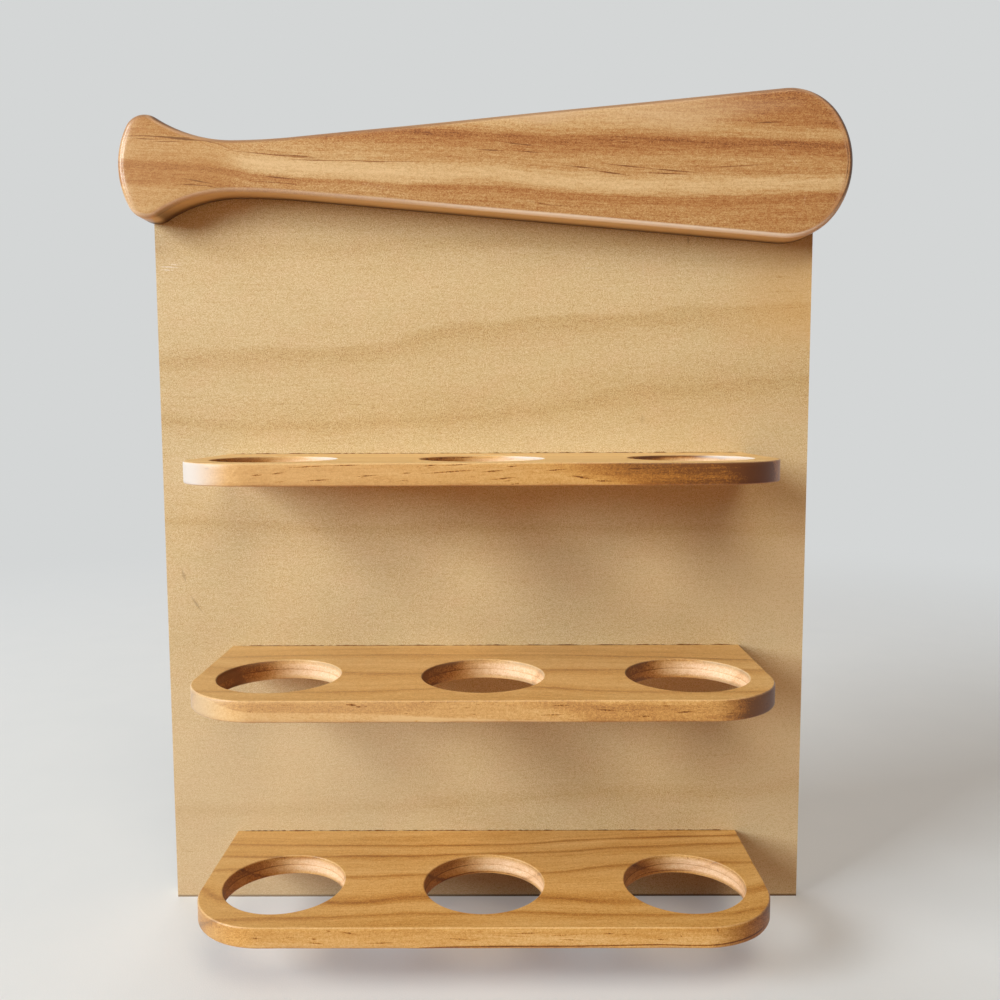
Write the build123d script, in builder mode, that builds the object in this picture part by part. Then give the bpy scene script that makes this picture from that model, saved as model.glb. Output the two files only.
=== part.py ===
from build123d import *
from math import atan2, tan
import os

os.makedirs("parts", exist_ok=True)

# Baseball wall display rack: a plywood back panel, three pine shelves with three round
# ball seats each, and a flat pine bat plaque across the top. It hangs on two keyhole plates.
# Sizes are in millimetres. The origin is the centre of the panel's back face, which lies
# on the wall. +Y points into the wall, +X to the right as seen from the front, +Z up.

# Back panel
panel_width = 381.0
panel_height = 440.0
panel_thickness = 12.0

# Shelves: plain boards with rounded front corners, butted against the panel
shelf_width = 305.0
shelf_depth = 111.0
shelf_thickness = 11.0
shelf_corner_radius = 40.0
shelf_edge_ease = 0.8
lowest_shelf_top = 42.0
shelf_rise = 115.5

# Ball seats: through holes that a ball sinks into by its lower third
seat_diameter = 65.0
seat_spacing = 108.8
seat_setback = 65.0
seat_edge_ease = 0.8

# Bat plaque, lying along X with its knob on the left
bat_length = 410.7
bat_thickness = 19.0
bat_edge_radius = 3.5
bat_offset = 1.4
bat_axis_below_top = 5.4
knob_end_depth = 13.2
knob_width = 66.3
knob_corner_radius = 11.7
handle_start = 64.2
handle_width = 28.8
taper_blend = 36.2
barrel_width = 84.2
barrel_end_depth = 26.5
barrel_shoulder_radius = 33.5

# Countersunk wood screws that hold the shelves and the bat from behind
screw_diameter = 3.8
screw_head_diameter = 8.0
screw_point_length = 4.0
screw_recess_width = 1.1
screw_recess_length = 4.6
screw_recess_depth = 1.6
screw_sink = 0.2
shelf_screw_length = 30.0
shelf_screw_spacing = 130.0
bat_screw_length = 25.0
bat_screw_spacing = 120.0
bat_screw_below_top = 10.0
shank_clearance = 0.3
pilot_clearance = 0.1
head_clearance = 0.2
pilot_spare_depth = 1.0

# Keyhole hanger plates, let into the back of the panel
hanger_spacing = 300.0
hanger_below_top = 62.0
hanger_width = 16.0
hanger_length = 48.0
hanger_thickness = 1.5
hanger_sink = 0.2
hanger_side_clearance = 0.15
keyhole_entry_diameter = 9.5
keyhole_slot_width = 5.0
keyhole_entry_drop = 6.0
keyhole_slot_rise = 6.0
keyhole_pocket_depth = 8.0
keyhole_pocket_margin = 0.9
hanger_screw_diameter = 2.8
hanger_screw_head_diameter = 5.4
hanger_screw_length = 9.0
hanger_screw_spacing = 37.0
hanger_screw_point_length = 2.0
hanger_screw_recess_width = 0.8
hanger_screw_recess_length = 3.4
hanger_screw_recess_depth = 1.0

# Places worked out from the sizes above
panel_front = -panel_thickness
panel_top = panel_height / 2
panel_bottom = -panel_height / 2
seat_y = panel_front - seat_setback
shelf_tops = {
    "lower_shelf": panel_bottom + lowest_shelf_top,
    "middle_shelf": panel_bottom + lowest_shelf_top + shelf_rise,
    "upper_shelf": panel_bottom + lowest_shelf_top + 2 * shelf_rise,
}
shelf_screw_xs = (-shelf_screw_spacing, 0, shelf_screw_spacing)
bat_axis_z = panel_top - bat_axis_below_top
bat_screw_z = panel_top - bat_screw_below_top
hanger_z = panel_top - hanger_below_top

# The wall side, seen from behind: its normal points into the wall, its Y axis up
wall_side = Plane(origin=(0, 0, 0), x_dir=(-1, 0, 0), z_dir=(0, 1, 0))
front_side = Plane(origin=(0, panel_front, 0), x_dir=(1, 0, 0), z_dir=(0, -1, 0))

shelf_screw_places = {
    name: [(x, top - shelf_thickness / 2) for x in shelf_screw_xs] for name, top in shelf_tops.items()
}
bat_screw_places = [(i * bat_screw_spacing, bat_screw_z) for i in (-1, 0, 1)]
hanger_places = {"left": (hanger_spacing / 2, hanger_z), "right": (-hanger_spacing / 2, hanger_z)}
hanger_screw_offsets = (-hanger_screw_spacing / 2, hanger_screw_spacing / 2)


def countersunk_screw(diameter, head_diameter, length, point_length, recess):
    """A countersunk screw along -Z, its head's flat face on XY, with a cross recess in it.

    The recess is given as its arms' length, their width and its depth.
    """
    recess_length, recess_width, recess_depth = recess
    cone_depth = (head_diameter - diameter) / 2
    with BuildPart() as screw:
        with BuildSketch(Plane.XZ):
            with BuildLine():
                Polyline(
                    (0, 0),
                    (head_diameter / 2, 0),
                    (diameter / 2, -cone_depth),
                    (diameter / 2, -length + point_length),
                    (0, -length),
                    close=True,
                )
            make_face()
        revolve(axis=Axis.Z)
        with BuildSketch(Plane.XY):
            Rectangle(recess_length, recess_width)
            Rectangle(recess_width, recess_length)
        extrude(amount=-recess_depth, mode=Mode.SUBTRACT)
    return screw.part


def screw_hole(diameter, head_diameter, depth):
    """The bore and countersink that a screw needs, sunk from the current workplane."""
    CounterSinkHole(
        radius=diameter / 2 + shank_clearance,
        counter_sink_radius=head_diameter / 2 + head_clearance,
        depth=depth,
        counter_sink_angle=90,
    )


def finish(builder, label):
    """Names a finished piece and writes it."""
    builder.part.label = label
    export_step(builder.part, f"parts/{label}.step")


# The panel, with its screw holes and the recesses for the hanger plates
with BuildPart() as back_panel:
    with BuildSketch(wall_side):
        Rectangle(panel_width, panel_height)
    extrude(amount=-panel_thickness)
    with Locations(wall_side):
        for places in shelf_screw_places.values():
            with Locations(*places):
                screw_hole(screw_diameter, screw_head_diameter, panel_thickness)
        with Locations(*bat_screw_places):
            screw_hole(screw_diameter, screw_head_diameter, panel_thickness)
    with BuildSketch(wall_side):
        with Locations(*hanger_places.values()):
            SlotOverall(
                hanger_length + 2 * hanger_side_clearance,
                hanger_width + 2 * hanger_side_clearance,
                rotation=90,
            )
    extrude(amount=-hanger_thickness - hanger_sink, mode=Mode.SUBTRACT)
    pocket_width = keyhole_entry_diameter + 2 * keyhole_pocket_margin
    pocket_bottom = -keyhole_entry_drop - pocket_width / 2
    pocket_top = keyhole_slot_rise + pocket_width / 2
    with BuildSketch(wall_side):
        for x, z in hanger_places.values():
            with Locations((x, z + (pocket_top + pocket_bottom) / 2)):
                SlotOverall(pocket_top - pocket_bottom, pocket_width, rotation=90)
    extrude(amount=-keyhole_pocket_depth, mode=Mode.SUBTRACT)
    pilot_floor = hanger_screw_length + hanger_sink + pilot_spare_depth
    with BuildSketch(wall_side):
        for x, z in hanger_places.values():
            with Locations(*[(x, z + dz) for dz in hanger_screw_offsets]):
                Circle(hanger_screw_diameter / 2 + pilot_clearance)
    extrude(amount=-pilot_floor, mode=Mode.SUBTRACT)
finish(back_panel, "back_panel")

# The shelves, each a board with rounded front corners, three ball seats and pilot holes
pilot_depth = shelf_screw_length + screw_sink - panel_thickness + pilot_spare_depth
for shelf_name, shelf_top in shelf_tops.items():
    with BuildPart() as shelf:
        with BuildSketch(Plane.XY.offset(shelf_top)) as outline:
            with Locations((0, panel_front)):
                Rectangle(shelf_width, shelf_depth, align=(Align.CENTER, Align.MAX))
            fillet(outline.vertices().group_by(Axis.Y)[0], radius=shelf_corner_radius)
        extrude(amount=-shelf_thickness)
        back_edges = shelf.faces().sort_by(Axis.Y)[-1].edges()
        flat_faces = shelf.faces().filter_by(Axis.Z)
        rim = [edge for edge in flat_faces.edges() if edge not in back_edges]
        chamfer(rim, length=shelf_edge_ease)
        with BuildSketch(Plane.XY.offset(shelf_top)):
            with Locations((0, seat_y)):
                with GridLocations(seat_spacing, 0, 3, 1):
                    Circle(seat_diameter / 2)
        extrude(amount=-shelf_thickness, mode=Mode.SUBTRACT)
        seat_rims = shelf.edges().filter_by(GeomType.CIRCLE).filter_by(
            lambda edge: abs(edge.radius - seat_diameter / 2) < shelf_edge_ease / 100
        )
        chamfer(seat_rims, length=seat_edge_ease)
        with BuildSketch(front_side):
            with Locations(*shelf_screw_places[shelf_name]):
                Circle(screw_diameter / 2 + pilot_clearance)
        extrude(amount=pilot_depth, mode=Mode.SUBTRACT)
    finish(shelf, shelf_name)

# The bat plaque: half its outline is drawn above the axis, then mirrored
taper_run = bat_length - barrel_end_depth - handle_start
taper_angle = atan2((barrel_width - handle_width) / 2, taper_run - taper_blend / 2)
taper_start = (
    handle_start + taper_blend,
    handle_width / 2 + taper_blend * tan(taper_angle / 2),
)
knob_corner = (knob_end_depth, knob_width / 2)
handle_point = (handle_start, handle_width / 2)
barrel_shoulder = (bat_length - barrel_end_depth, barrel_width / 2)
bat_plane = Plane(
    origin=(bat_offset - bat_length / 2, panel_front, bat_axis_z),
    x_dir=(1, 0, 0),
    z_dir=(0, -1, 0),
)
bat_pilot_depth = bat_screw_length + screw_sink - panel_thickness + pilot_spare_depth
with BuildPart() as bat_plaque:
    with BuildSketch(bat_plane) as bat_outline:
        with BuildLine():
            TangentArc((0, 0), knob_corner, tangent=(0, 1))
            TangentArc(handle_point, knob_corner, tangent=(-1, 0))
            TangentArc(handle_point, taper_start, tangent=(1, 0))
            Line(taper_start, barrel_shoulder)
            TangentArc((bat_length, 0), barrel_shoulder, tangent=(0, 1))
            mirror(about=Plane.XZ)
        make_face()
        fillet(bat_outline.vertices().group_by(Axis.X)[0], radius=knob_corner_radius)
        fillet(bat_outline.vertices().group_by(Axis.X)[-1], radius=barrel_shoulder_radius)
    extrude(amount=bat_thickness)
    fillet(bat_plaque.faces().sort_by(Axis.Y)[0].edges(), radius=bat_edge_radius)
    with BuildSketch(front_side):
        with Locations(*bat_screw_places):
            Circle(screw_diameter / 2 + pilot_clearance)
    extrude(amount=bat_pilot_depth, mode=Mode.SUBTRACT)
finish(bat_plaque, "bat_plaque")

# The screws, in groups by the piece that they hold
screw_recess = (screw_recess_length, screw_recess_width, screw_recess_depth)
shelf_screw = countersunk_screw(
    screw_diameter,
    screw_head_diameter,
    shelf_screw_length,
    screw_point_length,
    screw_recess,
)
bat_screw = countersunk_screw(
    screw_diameter,
    screw_head_diameter,
    bat_screw_length,
    screw_point_length,
    screw_recess,
)
hanger_screw = countersunk_screw(
    hanger_screw_diameter,
    hanger_screw_head_diameter,
    hanger_screw_length,
    hanger_screw_point_length,
    (hanger_screw_recess_length, hanger_screw_recess_width, hanger_screw_recess_depth),
)
screw_seat = wall_side.offset(-screw_sink)
for shelf_name, places in shelf_screw_places.items():
    with BuildPart(screw_seat) as shelf_screws:
        with Locations(*places):
            add(shelf_screw)
    finish(shelf_screws, f"{shelf_name}_screws")

with BuildPart(screw_seat) as bat_screws:
    with Locations(*bat_screw_places):
        add(bat_screw)
finish(bat_screws, "bat_screws")

# The keyhole plates, flush in their recesses, and their screws
for side, (x, z) in hanger_places.items():
    plate_face = Plane(
        origin=wall_side.offset(-hanger_sink).from_local_coords((x, z, 0)),
        x_dir=wall_side.x_dir,
        z_dir=wall_side.z_dir,
    )
    with BuildPart(plate_face) as hanger_plate:
        with BuildSketch(plate_face):
            SlotOverall(hanger_length, hanger_width, rotation=90)
            with Locations((0, -keyhole_entry_drop)):
                Circle(keyhole_entry_diameter / 2, mode=Mode.SUBTRACT)
            slot_length = keyhole_entry_drop + keyhole_slot_rise + keyhole_slot_width
            with Locations((0, (keyhole_slot_rise - keyhole_entry_drop) / 2)):
                SlotOverall(slot_length, keyhole_slot_width, rotation=90, mode=Mode.SUBTRACT)
        extrude(amount=-hanger_thickness)
        with Locations(*[(0, dz) for dz in hanger_screw_offsets]):
            screw_hole(hanger_screw_diameter, hanger_screw_head_diameter, hanger_thickness)
    finish(hanger_plate, f"{side}_hanger_plate")

    with BuildPart(plate_face) as hanger_screws:
        with Locations(*[(0, dz) for dz in hanger_screw_offsets]):
            add(hanger_screw)
    finish(hanger_screws, f"{side}_hanger_screws")
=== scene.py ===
# %% [markdown]
# # A baseball wall display rack
# A plywood panel carries three pine shelves, each with three round seats for a ball, and a
# flat pine bat lies across its top. The CAD model gives every size, so this lesson only adds
# what wood, varnish and light do to those shapes.

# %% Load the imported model
import math

import bmesh
import bpy
import numpy as np
from mathutils import Matrix, Vector


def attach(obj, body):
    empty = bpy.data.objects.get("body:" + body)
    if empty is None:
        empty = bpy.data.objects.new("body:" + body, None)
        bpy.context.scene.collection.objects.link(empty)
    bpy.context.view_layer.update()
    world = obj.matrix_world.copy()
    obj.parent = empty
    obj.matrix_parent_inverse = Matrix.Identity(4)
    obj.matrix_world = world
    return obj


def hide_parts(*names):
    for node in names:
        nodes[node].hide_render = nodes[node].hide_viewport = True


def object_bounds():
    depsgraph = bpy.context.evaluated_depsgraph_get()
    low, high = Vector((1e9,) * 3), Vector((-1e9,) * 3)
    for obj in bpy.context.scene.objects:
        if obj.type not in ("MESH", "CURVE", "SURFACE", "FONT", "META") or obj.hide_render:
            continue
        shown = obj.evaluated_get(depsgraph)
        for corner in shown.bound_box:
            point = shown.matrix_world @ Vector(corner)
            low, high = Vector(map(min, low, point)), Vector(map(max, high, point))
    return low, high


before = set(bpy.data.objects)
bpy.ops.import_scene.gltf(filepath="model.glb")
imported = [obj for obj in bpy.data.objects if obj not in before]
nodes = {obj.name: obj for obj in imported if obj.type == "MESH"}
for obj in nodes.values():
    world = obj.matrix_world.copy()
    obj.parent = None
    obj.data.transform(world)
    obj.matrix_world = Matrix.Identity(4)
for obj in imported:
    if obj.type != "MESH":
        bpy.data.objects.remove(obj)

bpy.context.view_layer.update()
cad_low, cad_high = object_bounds()
MM = 0.001
print("CAD box in mm:", [round(v / MM, 1) for v in (*cad_low, *cad_high)])

# %% [markdown]
# ## Camera
# The picture was taken from a little over half a metre away with a fairly wide lens, held
# just above the middle of the rack. That nearness is why the lowest shelf shows its top and
# the highest one shows only its edge, so the distance matters as much as the angle.

# %% Place the camera
# The spot is in metres, the angles in radians, the lens and the sensor in millimetres.
CAMERA_SPOT = Vector((11.53, -574.94, 76.06)) * MM
PITCH_DOWN = 0.090
YAW = -0.0043
ROLL = -0.0037
LENS = 34.29
SENSOR = 36.0

flat = math.cos(PITCH_DOWN)
ahead = Vector((math.sin(YAW) * flat, math.cos(YAW) * flat, -math.sin(PITCH_DOWN)))
level = Vector((math.cos(YAW), -math.sin(YAW), 0))
upright = level.cross(ahead)
right = level * math.cos(ROLL) + upright * math.sin(ROLL)
up = upright * math.cos(ROLL) - level * math.sin(ROLL)

camera_data = bpy.data.cameras.new("camera")
camera_data.lens = LENS
camera_data.sensor_width = SENSOR
camera_data.clip_start = 0.01
camera_data.clip_end = 50.0
camera = bpy.data.objects.new("camera", camera_data)
bpy.context.scene.collection.objects.link(camera)
turned = Matrix((right, up, -ahead)).transposed().to_4x4()
camera.matrix_world = Matrix.Translation(CAMERA_SPOT) @ turned
bpy.context.scene.camera = camera
print("camera at", tuple(round(v / MM) for v in camera.location), "mm")

# %% [markdown]
# ## Node work in a few words
# A wood material is a long sum: rings plus fibres plus stains. Written node by node it would
# fill pages. Here one output socket is wrapped in a small class, so that `a * 2 + b` adds the
# two Math nodes that do it, and the formulas below read like formulas.

# %% A value on the surface
def put(node, name, value):
    """Sets one input of a node, or links a Field to it."""
    if isinstance(value, Field):
        node.id_data.links.new(value.socket, node.inputs[name])
    else:
        node.inputs[name].default_value = value


class Field:
    """A number, vector or colour that changes over a surface: one output of a node."""

    def __init__(self, socket):
        self.socket = socket

    def __add__(self, other):
        return maths("ADD", self, other)

    def __sub__(self, other):
        return maths("SUBTRACT", self, other)

    def __rsub__(self, other):
        return maths("SUBTRACT", other, self)

    def __mul__(self, other):
        return maths("MULTIPLY", self, other)

    def __truediv__(self, other):
        return maths("DIVIDE", self, other)

    __radd__ = __add__
    __rmul__ = __mul__


def tree_of(*values):
    """The node tree that the first Field among some values belongs to."""
    return next(v for v in values if isinstance(v, Field)).socket.id_data


def maths(operation, *values):
    """One Math node on Fields and plain numbers."""
    node = tree_of(*values).nodes.new("ShaderNodeMath")
    node.operation = operation
    for i, value in enumerate(values):
        put(node, i, value)
    return Field(node.outputs[0])


def clamp(value, low=0.0, high=1.0):
    """The value, kept between two numbers."""
    return maths("MAXIMUM", maths("MINIMUM", value, high), low)


def soft_step(value, start, end, low=0.0, high=1.0):
    """Goes from low to high in a smooth S as the value goes from start to end."""
    node = tree_of(value).nodes.new("ShaderNodeMapRange")
    node.interpolation_type = "SMOOTHSTEP"
    put(node, "Value", value)
    for name, limit in (("From Min", start), ("From Max", end), ("To Min", low), ("To Max", high)):
        put(node, name, limit)
    return Field(node.outputs[0])


def join(x, y, z):
    """Three numbers as one vector."""
    node = tree_of(x, y, z).nodes.new("ShaderNodeCombineXYZ")
    for i, value in enumerate((x, y, z)):
        put(node, i, value)
    return Field(node.outputs[0])


# Blender's noise keeps close to 0.5. This factor spreads it to about -1 to 1.
NOISE_SPREAD = 3.2


def noise(x, y, z, detail=2.0):
    """Smooth noise around 0, from about -1 to 1, with one bump for each unit of x, y or z."""
    where = join(x, y, z)
    node = where.socket.id_data.nodes.new("ShaderNodeTexNoise")
    put(node, "Vector", where)
    for name, value in (("Scale", 1.0), ("Detail", detail), ("Roughness", 0.5)):
        put(node, name, value)
    return (Field(node.outputs[0]) - 0.5) * NOISE_SPREAD


def dashes(x, y, z, share, size=0.16):
    """Short marks: 1 inside them, 0 elsewhere. Cells one unit wide each hold a mark of `size`
    units, and only a `share` of the cells keep theirs."""
    where = join(x, y, z)
    node = where.socket.id_data.nodes.new("ShaderNodeTexVoronoi")
    put(node, "Vector", where)
    put(node, "Scale", 1.0)
    draw = node.id_data.nodes.new("ShaderNodeSeparateColor")
    put(draw, 0, Field(node.outputs["Color"]))
    kept = soft_step(Field(draw.outputs[0]), 1 - share, 1.0)
    return soft_step(Field(node.outputs["Distance"]), size, size * 0.4) * kept


def srgb(red, green, blue):
    """A colour as a screen shows it, 0 to 255, turned into the linear colour nodes use."""
    part = np.array([red, green, blue]) / 255
    linear = np.where(part <= 0.04045, part / 12.92, ((part + 0.055) / 1.055) ** 2.4)
    return (*linear.tolist(), 1.0)


def palette(*stops):
    """Stops for a ramp, each written as (place, red, green, blue)."""
    return [(place, srgb(*colour)) for place, *colour in stops]


def ramp(value, stops):
    """A colour for each value from 0 to 1, read between the stops."""
    node = tree_of(value).nodes.new("ShaderNodeValToRGB")
    put(node, 0, value)
    elements = node.color_ramp.elements
    while len(elements) < len(stops):
        elements.new(0.5)
    for element, (place, colour) in zip(elements, stops):
        element.position = place
        element.color = colour
    return Field(node.outputs[0])


def profile(value, stops):
    """A number for each value, read between stops of (value, number)."""
    start, end = stops[0][0], stops[-1][0]
    grey = [((place - start) / (end - start), (level, level, level, 1.0)) for place, level in stops]
    return ramp((value - start) / (end - start), grey)


def mix(first, second, amount):
    """The first colour, going to the second as the amount goes from 0 to 1."""
    node = tree_of(first, second, amount).nodes.new("ShaderNodeMix")
    node.data_type = "RGBA"
    sockets = {s.identifier: s for s in node.inputs}
    for key, value in (("Factor_Float", amount), ("A_Color", first), ("B_Color", second)):
        if isinstance(value, Field):
            node.id_data.links.new(value.socket, sockets[key])
        else:
            sockets[key].default_value = value
    return Field(next(s for s in node.outputs if s.identifier == "Result_Color"))


# %% [markdown]
# ## What a material starts and ends with
# Every recipe below begins with the place on the surface in millimetres and ends in one
# surface shader. The way the surface faces and how worn its edges are can be asked for too.

# %% Start and finish a material
def start_material(name):
    """A new material. Gives it with x, y and z of the surface in millimetres, as Fields."""
    material = bpy.data.materials.new(name)
    material.use_nodes = True
    tree = material.node_tree
    place = tree.nodes.new("ShaderNodeTexCoord")
    scale = tree.nodes.new("ShaderNodeVectorMath")
    scale.operation = "SCALE"
    put(scale, 0, Field(place.outputs["Object"]))
    put(scale, "Scale", 1 / MM)
    split = tree.nodes.new("ShaderNodeSeparateXYZ")
    put(split, 0, Field(scale.outputs[0]))
    return material, tuple(Field(s) for s in split.outputs)


def facing(material):
    """How far the surface faces along X, Y and Z, each from -1 to 1."""
    tree = material.node_tree
    geometry = tree.nodes.new("ShaderNodeNewGeometry")
    split = tree.nodes.new("ShaderNodeSeparateXYZ")
    put(split, 0, Field(geometry.outputs["Normal"]))
    return tuple(Field(s) for s in split.outputs)


def attribute(material, name):
    """A number that the mesh itself carries."""
    node = material.node_tree.nodes.new("ShaderNodeAttribute")
    node.attribute_name = name
    return Field(node.outputs["Fac"])


def finish_material(material, colour, roughness, relief=None, relief_depth=0.0, **sockets):
    """Sets the surface shader: colour and roughness, a relief in mm, and plain numbers."""
    shader = material.node_tree.nodes["Principled BSDF"]
    put(shader, "Base Color", colour)
    put(shader, "Roughness", roughness)
    for name, value in sockets.items():
        put(shader, name.replace("_", " "), value)
    if relief is not None:
        bump = material.node_tree.nodes.new("ShaderNodeBump")
        put(bump, "Height", relief)
        put(bump, "Distance", relief_depth * MM)
        put(shader, "Normal", Field(bump.outputs[0]))
    return material


# %% [markdown]
# ## Drawing the grain
# Real boards are known by a few strong grain lines. They can't come from noise alone, or no
# two renders of a board would look related. So a few lines are drawn for each board,
# as points (x, height), and the space between two lines is stretched to fit. The result is a
# straightened height: along one grain line it stays the same. Rings and fibres are then
# painted on the straightened board, where they are simple straight stripes.

# %% Straighten a board
def drawn_line(x, points, span):
    """The height of a drawn line over x. span is the board's lowest and highest x."""
    heights = [h for _, h in points]
    low, high = min(heights) - 1.0, max(heights) + 1.0
    node = x.socket.id_data.nodes.new("ShaderNodeFloatCurve")
    put(node, "Value", (x - span[0]) / (span[1] - span[0]))
    curve = node.mapping.curves[0]
    places = [((px - span[0]) / (span[1] - span[0]), (h - low) / (high - low)) for px, h in points]
    curve.points[0].location = places[0]
    curve.points[1].location = places[-1]
    for place in places[1:-1]:
        curve.points.new(*place)
    node.mapping.update()
    return Field(node.outputs[0]) * (high - low) + low


def straighten(x, height, lines, span):
    """The height at which each point's grain line would run if every line were level.

    lines holds (level, points) for each drawn line, from the lowest to the highest.
    Under the first drawn line and over the last one the grain keeps its spacing. Between two
    of them the straightened height grows in proportion to the way across.
    """
    levels = [level for level, _ in lines]
    drawn = [drawn_line(x, points, span) for _, points in lines]
    total = maths("MINIMUM", height - drawn[0], 0.0) + levels[0]
    for i in range(len(lines) - 1):
        share = clamp((height - drawn[i]) / (drawn[i + 1] - drawn[i]))
        total = total + share * (levels[i + 1] - levels[i])
    return total + maths("MAXIMUM", height - drawn[-1], 0.0)


# %% [markdown]
# ## Surfaces from arrays
# Every new piece is a grid of points worked out with numpy. Several grids make one piece:
# they meet edge to edge, and points that fall on each other are joined afterwards.

# %% Make a piece from grids
def grid_faces(rows, columns, closed):
    """The four-sided faces of a grid of points that is stored row by row."""
    row = np.arange(rows - 1)[:, None] * columns
    column = np.arange(columns if closed else columns - 1)[None, :]
    beside = (column + 1) % columns
    corners = (row + column, row + beside, row + columns + beside, row + columns + column)
    return np.stack(np.broadcast_arrays(*corners), axis=-1).reshape(-1, 4)


def make_piece(name, grids, material, stands_for=None):
    """One object from grids of (points in mm, closed, {attribute: numbers}).

    Faces point outwards, curved parts are shaded smooth, and edges over 40 degrees stay sharp.
    """
    points, faces, values, count = [], [], {}, 0
    for grid, closed, carried in grids:
        rows, columns = grid.shape[:2]
        points.append(grid.reshape(-1, 3) * MM)
        faces.append(grid_faces(rows, columns, closed) + count)
        for key, numbers in carried.items():
            values.setdefault(key, []).append(np.broadcast_to(numbers, (rows, columns)).reshape(-1))
        count += rows * columns
    mesh = bpy.data.meshes.new(name)
    mesh.from_pydata(np.concatenate(points), [], np.concatenate(faces))
    for key, numbers in values.items():
        layer = mesh.attributes.new(key, "FLOAT", "POINT")
        layer.data.foreach_set("value", np.concatenate(numbers).astype(np.float32))
    work = bmesh.new()
    work.from_mesh(mesh)
    bmesh.ops.remove_doubles(work, verts=work.verts, dist=0.002 * MM)
    bmesh.ops.dissolve_degenerate(work, edges=work.edges, dist=0.001 * MM)
    bmesh.ops.recalc_face_normals(work, faces=work.faces)
    open_edges = sum(1 for e in work.edges if len(e.link_faces) != 2)
    work.to_mesh(mesh)
    work.free()
    mesh.shade_smooth()
    mesh.set_sharp_from_angle(angle=math.radians(40))
    mesh.materials.append(material)
    piece = bpy.data.objects.new(name, mesh)
    bpy.context.scene.collection.objects.link(piece)
    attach(piece, "root")
    if stands_for:
        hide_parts(stands_for)
    print(f"{name}: {len(mesh.polygons)} faces, {open_edges} open edges")
    return piece


def waves(share, seed, fastest=12):
    """A smooth curve around 0, about 1 high, that closes on itself as share goes from 0 to 1:
    a sum of six sines with whole numbers of turns and random starts."""
    draw = np.random.default_rng(seed)
    turns = draw.integers(2, fastest, 6)
    starts = draw.uniform(0, 2 * np.pi, 6)
    return np.sin(2 * np.pi * turns * share[..., None] + starts).sum(-1) / math.sqrt(6)


def quarter_round(steps=6):
    """Out and down along a quarter circle of radius 1, with 1 at its middle and 0 at its ends."""
    turn = np.linspace(0, np.pi / 2, steps + 1)
    return np.sin(turn), 1 - np.cos(turn), np.sin(2 * turn)


# %% [markdown]
# ## The shelves
# Each shelf is a plain board with round front corners and three seats. Sandpaper has rounded
# its edges, a little more here and a little less there. The hole saw cut each seat from both
# faces, and the two cuts don't quite meet, so a faint step runs round the wall.
#
# A board with holes is an awkward grid. It gets easy when the board is cut into three parts
# with one hole each: from the middle of its hole every part is a fan, and a point is given
# by an angle and by how far it is from the rim to the part's border.

# %% Sizes of a shelf in millimetres
HALF_WIDTH = 152.5
FRONT_Y = -123.0
BACK_Y = -12.0
THICKNESS = 11.0
CORNER = 40.0
SEAT_RADIUS = 32.5
SEAT_SPACING = 108.8
SEAT_Y = -77.0
EDGE = 0.75
EDGE_WEAR = 0.10
SEAT_EDGE = 0.65
SEAT_WEAR = 0.05
SAW_MISMATCH = 0.15
SAW_STEP = 5.4
SIDE_ROWS = (2.5, 5.5, 8.5)
SEAT_ROWS = (2.8, 5.3, 5.6, 8.2)
TOPS = {"lower_shelf": -178.0, "middle_shelf": -62.5, "upper_shelf": 53.0}

# The top face ends where the rounded edges begin. All of these are seen from a seat's middle.
to_back, to_front = BACK_Y - SEAT_Y, FRONT_Y + EDGE - SEAT_Y
to_side, to_part = HALF_WIDTH - EDGE - SEAT_SPACING, SEAT_SPACING / 2
inner_corner = CORNER - EDGE
print("an end seat lies", round(HALF_WIDTH - SEAT_SPACING, 2), "mm from the board's end")


# %% Where a part of the shelf ends
def part_border(angle, left, right):
    """Where a ray from the seat's middle leaves its part, and which way the outline faces there.

    The part is a box. Its ends that are the board's own have a round front corner: there the
    ray meets a circle, b + sqrt(b*b - q*q + r*r) away, with b the way along the ray to the
    circle's middle and q that middle's distance.
    """
    c, s = np.cos(angle), np.sin(angle)
    reach_x = np.where(c > 0, right, left) / np.where(np.abs(c) < 1e-9, 1e-9, c)
    reach_y = np.where(s > 0, to_back, to_front) / np.where(np.abs(s) < 1e-9, 1e-9, s)
    reach_x, reach_y = np.abs(reach_x), np.abs(reach_y)
    reach = np.minimum(reach_x, reach_y)
    x, y = reach * c, reach * s
    sideways = np.stack([np.sign(c), 0 * c], 1)
    forwards = np.stack([0 * c, np.sign(s)], 1)
    faces = np.where((reach_x < reach_y - 1e-6)[:, None], sideways, forwards)
    for side in (left, right):
        if abs(side) == to_part:
            continue
        middle = np.array([side - np.sign(side) * inner_corner, to_front + inner_corner])
        b = c * middle[0] + s * middle[1]
        under = b**2 - middle @ middle + inner_corner**2
        on_arc = (np.sign(side) * (x - middle[0]) > 0) & (y < middle[1]) & (under > 0)
        far = b + np.sqrt(np.maximum(under, 0))
        x, y = np.where(on_arc, far * c, x), np.where(on_arc, far * s, y)
        turned = np.stack([x - middle[0], y - middle[1]], 1) / inner_corner
        faces = np.where(on_arc[:, None], turned, faces)
    return np.stack([x, y], 1), faces


# %% The angles of the fans
# Besides the even ones there is a ray to every corner, and to both ends of the round corner.
corner_keys = [math.atan2(v, w) for v in (to_back, to_front) for w in (to_part, to_side)]
corner_keys.append(math.atan2(to_front + inner_corner, to_side))
corner_keys.append(math.atan2(to_front, to_side - inner_corner))
mirrored_keys = [math.pi - key for key in corner_keys]
even = np.linspace(0, 2 * np.pi, 160, endpoint=False)
fan = np.unique(np.round(np.concatenate([even, corner_keys, mirrored_keys]) % (2 * np.pi), 9))
print(len(fan), "rays from each seat")


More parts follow.
